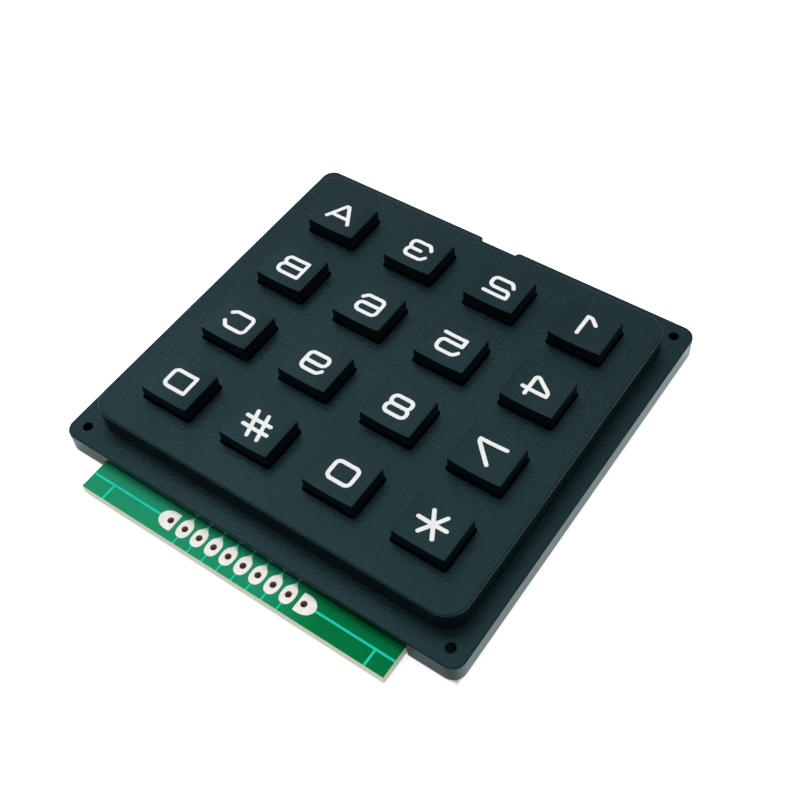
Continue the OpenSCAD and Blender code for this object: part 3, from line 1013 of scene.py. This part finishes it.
def plated_pad(name, sizes, reach, top, bottom):
    """A pad with its barrel through the board and the ring on the underside, as one skin."""
    bore = sizes.hole / 2 - sizes.hole_fill
    drilled = sizes.hole / 2 + sizes.copper
    back = sizes.back_pad / 2
    lip = sizes.copper * LIP
    face = top + sizes.copper + sizes.tin_coat
    under = bottom - sizes.copper
    rows = []
    rings = (
        # Radius, height and, on the pad's own outline, how far it draws in
        (drilled, bottom, 0.0),
        (drilled, top, 0.0),
        (reach, top, 0.0),
        (reach, face, PAD_BEVEL * sizes.copper),
        (reach, face, PAD_SHOULDER * sizes.copper),
        (bore + 3 * lip, face, 0.0),
        (bore + lip, face, 0.0),
        (bore + 0.3 * lip, face - 0.3 * lip, 0.0),
        (bore, face - lip, 0.0),
        (bore, under + lip, 0.0),
        (bore + lip, under, 0.0),
        (back - lip, under, 0.0),
        (back, bottom - 0.5 * sizes.copper, 0.0),
        (back, bottom, 0.0),
    )
    for radius, height, inset in rings:
        for step in range(PAD_STEPS):
            turn = 2 * math.pi * (step + 0.5) / PAD_STEPS
            distance = (radius(turn) if callable(radius) else radius) - inset
            rows.append((distance * math.cos(turn), distance * math.sin(turn), height))
    faces = []
    for first in range(0, len(rows), PAD_STEPS):
        after = (first + PAD_STEPS) % len(rows)
        for step in range(PAD_STEPS):
            beside = (step + 1) % PAD_STEPS
            faces.append((first + step, first + beside, after + beside, after + step))
    return new_object(name, rows, faces=faces)


def pad_row_tree():
    """Repeats one pad along a row."""
    nodes, given, finish = shape_tree("Pad Row", {
        "Geometry": ("Pad",), "Int": ("Count",), "Float": ("Pitch",), "Vector": ("Start",),
    })
    row = nodes.out("GeometryNodeMeshLine", {
        "Count": given["Count"],
        "Start Location": given["Start"],
        "Offset": nodes.vector(given["Pitch"]),
    }, mode="OFFSET")
    return finish(nodes.out("GeometryNodeInstanceOnPoints", {
        "Points": row, "Instance": given["Pad"],
    }))


def merge_objects(parts, name):
    """One object from several that share a material."""
    shape = bmesh.new()
    for part in parts:
        shape.from_mesh(part.data)
    mesh = bpy.data.meshes.new(name)
    shape.to_mesh(mesh)
    shape.free()
    mesh.materials.append(parts[0].data.materials[0])
    for part in parts:
        bpy.data.objects.remove(part)
    return link_object(name, mesh)


class KEYPAD_OT_header(Step, bpy.types.Operator):
    """Builds the ten plated holes with their pads"""

    bl_idname = "keypad.header"
    bl_label = "Header Pads"

    def build(self, scene):
        sizes = scene.keypad_header
        low, high, middle = box_of("header_pads")
        first = Vector((
            middle.x - (sizes.count - 1) / 2 * sizes.pitch, high.y - sizes.tail, 0.0
        ))
        last = first + Vector(((sizes.count - 1) * sizes.pitch, 0.0, 0.0))
        second = first + Vector((sizes.pitch, 0.0, 0.0))
        material = tin_material()
        tree = pad_row_tree()
        parts = []
        for name, reach, count, start in (
            ("left", lambda turn: end_pad_reach(sizes, math.pi - turn), 1, first),
            ("inner", lambda turn: inner_pad_reach(sizes, turn), sizes.count - 2, second),
            ("right", lambda turn: end_pad_reach(sizes, turn), 1, last),
        ):
            part = plated_pad(
                f"pads_{name}", sizes, reach, high.z - sizes.copper, low.z + sizes.copper
            )
            bake_tree(part, tree, {
                "Count": count, "Pitch": sizes.pitch, "Start": tuple(start),
                "Material": material,
            })
            parts.append(part)
        pads = merge_objects(parts, "pads_header")
        finish_mesh(pads, FINE_ANGLE)
        dress(pads, ROOT_BODY, "tinned_metal", "header_pads")


# CAD parts that keep their shape


class KEYPAD_OT_housing(Step, bpy.types.Operator):
    """Gives the moulded housing its grain"""

    bl_idname = "keypad.housing"
    bl_label = "Housing"

    def build(self, scene):
        looks = scene.keypad_plastic
        material = plastic_material("housing_plastic", looks.housing)
        set_material(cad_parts["housing"], material)


class KEYPAD_OT_board(Step, bpy.types.Operator):
    """Gives the board its green mask and the traces their paler green"""

    bl_idname = "keypad.board"
    bl_label = "Board"

    def build(self, scene):
        looks = scene.keypad_board
        set_material(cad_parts["board"], board_material())
        masked = mottled_material(
            "masked_copper", looks.trace, darker(looks.trace, 0.85),
            patch=1.2 * MM, speckle=0.1 * MM, roughness=MASK_ROUGHNESS,
        )
        add_gloss(masked.node_tree.nodes["Principled BSDF"], looks.gloss, looks.mask_gloss)
        set_material(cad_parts["board_traces"], masked)


class KEYPAD_OT_inside(Step, bpy.types.Operator):
    """Gives the hidden pills and contacts their finishes"""

    bl_idname = "keypad.inside"
    bl_label = "Inside Parts"

    def build(self, scene):
        carbon = mottled_material(
            "carbon_rubber", (0.008, 0.008, 0.009), (0.014, 0.014, 0.015),
            patch=0.8 * MM, speckle=0.08 * MM, roughness=0.8, bump=0.006 * MM,
        )
        gold = mottled_material(
            "thin_gold", (0.62, 0.38, 0.10), (0.52, 0.30, 0.07),
            patch=1.0 * MM, speckle=0.1 * MM, roughness=0.35, metallic=0.9, bump=0.003 * MM,
        )
        set_material(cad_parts["contact_pads"], gold)
        for key in KEYS:
            set_material(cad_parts[f"pill_{key}"], carbon)


# Rubber membrane


def membrane_tree():
    """Cuts a shape with a box, and keeps either what the box holds or what it leaves."""
    nodes, given, finish = shape_tree("Membrane Cut", {
        "Geometry": ("Geometry",), "Vector": ("Box Size", "Box Place"), "Bool": ("Keep Inside",),
    })
    block = nodes.out("GeometryNodeMeshCube", {"Size": given["Box Size"]})
    block = nodes.move(block, given["Box Place"])
    held = nodes.add("GeometryNodeMeshBoolean", operation="INTERSECT", solver="EXACT")
    for part in (given["Geometry"], block):
        nodes.feed(held, {"Mesh 2": part})
    return finish(nodes.out("GeometryNodeSwitch", {
        "Switch": given["Keep Inside"],
        "False": nodes.cut(given["Geometry"], block),
        "True": held.outputs[0],
    }, input_type="GEOMETRY"))


class KEYPAD_OT_membrane(Step, bpy.types.Operator):
    """Splits the rubber membrane into its sheet and sixteen domes, one round each key's pill"""

    bl_idname = "keypad.membrane"
    bl_label = "Rubber Membrane"

    def build(self, scene):
        sizes = scene.keypad_membrane
        rubber = mottled_material(
            "silicone", sizes.rubber, darker(sizes.rubber, 0.83),
            patch=4 * MM, speckle=0.2 * MM, roughness=0.65, bump=0.004 * MM,
        )
        low, high, middle = box_of("rubber_membrane")
        tree = membrane_tree()
        foot = low.z + sizes.sheet + DOME_LIFT
        block_height = high.z - foot + DOME_ROOM

        def cut(name, place, width, depth, keep_inside):
            piece = link_object(name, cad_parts["rubber_membrane"].data.copy())
            face_outward(piece)
            bake_tree(piece, tree, {
                "Box Size": (width, depth, block_height),
                "Box Place": (place.x, place.y, foot + block_height / 2),
                "Keep Inside": keep_inside,
                "Material": rubber,
            })
            finish_mesh(piece, MOULDED_ANGLE)
            return piece

        beyond = 2 * (high - low)
        sheet = cut("membrane_sheet", middle, beyond.x, beyond.y, False)
        dress(sheet, ROOT_BODY, "silicone", "rubber_membrane")
        for key in KEYS:
            _, tip, centre = box_of(f"pill_{key}")
            dome = cut(f"dome_{key}", centre, sizes.dome, sizes.dome, True)
            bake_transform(dome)
            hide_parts("rubber_membrane")


# Stage


def add_lamp(name, place, size, power):
    """A square soft lamp that faces the origin."""
    lamp = bpy.data.lights.new(name, "AREA")
    lamp.size = size
    lamp.energy = power
    obj = link_object(name, lamp)
    obj.location = place
    obj.rotation_euler = (-Vector(place)).to_track_quat("-Z", "Y").to_euler()
    return obj


def outside_box(nodes, node):
    """1 outside a CAD node's outline on the floor, 0 well inside it."""
    low, high, middle = box_of(node)
    away = nodes.vector_maths("SUBTRACT", nodes.place(), tuple(middle))
    away = nodes.vector_maths("ABSOLUTE", away)
    beyond = nodes.axes(nodes.vector_maths("SUBTRACT", away, tuple((high - low) / 2)))
    return nodes.ramp(nodes.larger(beyond[0], beyond[1]), *SHADE_FADE)


def floor_material(setting):
    """Pale floor that looks plain white to the camera, with the object's shadow kept on it. Its
    glow is a painted reflection in the gloss of upright walls, more at the sides than in front
    and behind, and a painted bounce light on them. It is cut to a painted shadow under the
    object, where the holes show it."""
    material, nodes, shader = new_material("pale_floor")
    nodes.feed(shader, {
        "Base Color": (*setting.floor, 1.0), "Roughness": 0.9, "Specular IOR Level": 0.0,
    })
    rays = nodes.add("ShaderNodeLightPath").outputs
    low, high, middle = box_of("housing")
    half_depth = (high.y - low.y) / 2
    depth = nodes.minus(nodes.axes(nodes.place())[1], middle.y)
    mirrored = nodes.ramp(
        nodes.maths("ABSOLUTE", depth), half_depth - SIDE_FADE, half_depth + SIDE_FADE,
        setting.mirrored, setting.mirrored_ends,
    )
    in_gloss = nodes.larger(rays["Is Glossy Ray"], rays["Is Transmission Ray"])
    seen = nodes.larger(
        nodes.times(rays["Is Camera Ray"], setting.white), nodes.times(mirrored, in_gloss)
    )
    seen = nodes.larger(seen, nodes.times(rays["Is Diffuse Ray"], setting.bounce))
    # Painted shadow: the glow stops under the housing and under the board with its traces
    open_floor = nodes.times(
        outside_box(nodes, "housing"), outside_box(nodes, "board_traces")
    )
    glow = nodes.out("ShaderNodeEmission", {
        "Color": nodes.mix(rays["Is Camera Ray"], setting.mirrored_tint, (1.0, 1.0, 1.0)),
        "Strength": nodes.times(seen, open_floor),
    })
    both = nodes.out("ShaderNodeAddShader", {0: shader.outputs[0], 1: glow})
    nodes.feed(nodes.tree.nodes["Material Output"], {"Surface": both})
    return material


def build_world(setting):
    """Pale surroundings, brighter overhead, and white where the camera looks past the floor."""
    world = bpy.data.worlds.new("studio")
    world.use_nodes = True
    nodes = Nodes(world.node_tree)
    nodes.tree.nodes.clear()
    rays = nodes.add("ShaderNodeLightPath").outputs
    upward = nodes.axes(nodes.out("ShaderNodeTexCoord", output="Generated"))[2]
    lit = nodes.ramp(upward, first=setting.horizon, last=setting.sky)
    surround = nodes.out("ShaderNodeBackground", {
        "Color": (1.0, 1.0, 1.0, 1.0),
        "Strength": nodes.ramp(rays["Is Camera Ray"], first=lit, last=1.0),
    })
    nodes.add("ShaderNodeOutputWorld", {"Surface": surround})
    bpy.context.scene.world = world


def add_camera(setting):
    """A camera at the photograph's place, turned by its azimuth, elevation and roll."""
    a, e, r = setting.azimuth, setting.elevation, setting.roll
    ahead = Vector((-math.sin(a) * math.cos(e), math.cos(a) * math.cos(e), -math.sin(e)))
    level = Vector((math.cos(a), math.sin(a), 0.0))
    upright = Vector((-math.sin(a) * math.sin(e), math.cos(a) * math.sin(e), math.cos(e)))
    right = level * math.cos(r) + upright * math.sin(r)
    up = upright * math.cos(r) - level * math.sin(r)
    turned = Matrix((right, up, -ahead)).transposed().to_4x4()
    data = bpy.data.cameras.new("camera")
    data.sensor_width = 36.0
    data.lens = setting.lens
    data.clip_start = 0.005
    data.clip_end = 20.0
    camera = link_object("camera", data)
    camera.matrix_world = Matrix.Translation(setting.place) @ turned
    bpy.context.scene.camera = camera


class KEYPAD_OT_stage(Step, bpy.types.Operator):
    """Sets up the floor, the soft light and the camera"""

    bl_idname = "keypad.stage"
    bl_label = "Stage"

    def build(self, scene):
        setting = scene.keypad_stage
        half = setting.floor_size / 2
        corners = ((-half, -half), (half, -half), (half, half), (-half, half))
        floor = new_object(
            "floor", [(x, y, CAD_BOX[0][2]) for x, y in corners], faces=[(0, 1, 2, 3)]
        )
        set_material(floor, floor_material(setting))
        build_world(setting)
        add_lamp("left_lamp", LEFT_LAMP_PLACE, LEFT_LAMP_SIZE, setting.left_lamp)
        behind = add_lamp("back_lamp", BACK_LAMP_PLACE, BACK_LAMP_SIZE, setting.back_lamp)
        behind.visible_glossy = False
        add_camera(setting)
        scene.view_settings.view_transform = "Standard"


class VIEW3D_PT_keypad(bpy.types.Panel):
    """Lists the keypad's pieces and their sizes"""

    bl_label = "Keypad"
    bl_idname = "VIEW3D_PT_keypad"
    bl_space_type = "VIEW_3D"
    bl_region_type = "UI"
    bl_category = "Keypad"

    def draw(self, context):
        for step in STEPS:
            self.layout.operator(step.bl_idname)
        for name in GROUPS:
            box = self.layout.box()
            box.label(text=name.replace("keypad_", "").capitalize())
            group = getattr(context.scene, name)
            for prop in group.bl_rna.properties:
                if prop.identifier not in {"rna_type", "name"}:
                    box.prop(group, prop.identifier)


GROUPS = {
    "keypad_keycap": KeycapSizes,
    "keypad_legend": LegendSizes,
    "keypad_header": HeaderSizes,
    "keypad_membrane": MembraneSizes,
    "keypad_plastic": PlasticLooks,
    "keypad_board": BoardLooks,
    "keypad_stage": StageSetting,
}
STEPS = (
    KEYPAD_OT_stage,
    KEYPAD_OT_housing,
    KEYPAD_OT_keycaps,
    KEYPAD_OT_legends,
    KEYPAD_OT_board,
    KEYPAD_OT_header,
    KEYPAD_OT_membrane,
    KEYPAD_OT_inside,
)
CLASSES = (*GROUPS.values(), *STEPS, VIEW3D_PT_keypad)


def register():
    for kind in CLASSES:
        bpy.utils.register_class(kind)
    for name, kind in GROUPS.items():
        setattr(bpy.types.Scene, name, bpy.props.PointerProperty(type=kind))


def unregister():
    for name in GROUPS:
        delattr(bpy.types.Scene, name)
    for kind in reversed(CLASSES):
        bpy.utils.unregister_class(kind)


def main():
    """Builds every piece in order."""
    register()
    bpy.ops.keypad.stage()
    bpy.ops.keypad.housing()
    bpy.ops.keypad.keycaps()
    bpy.ops.keypad.legends()
    bpy.ops.keypad.board()
    bpy.ops.keypad.header()
    bpy.ops.keypad.membrane()
    bpy.ops.keypad.inside()


if __name__ == "__main__":
    main()
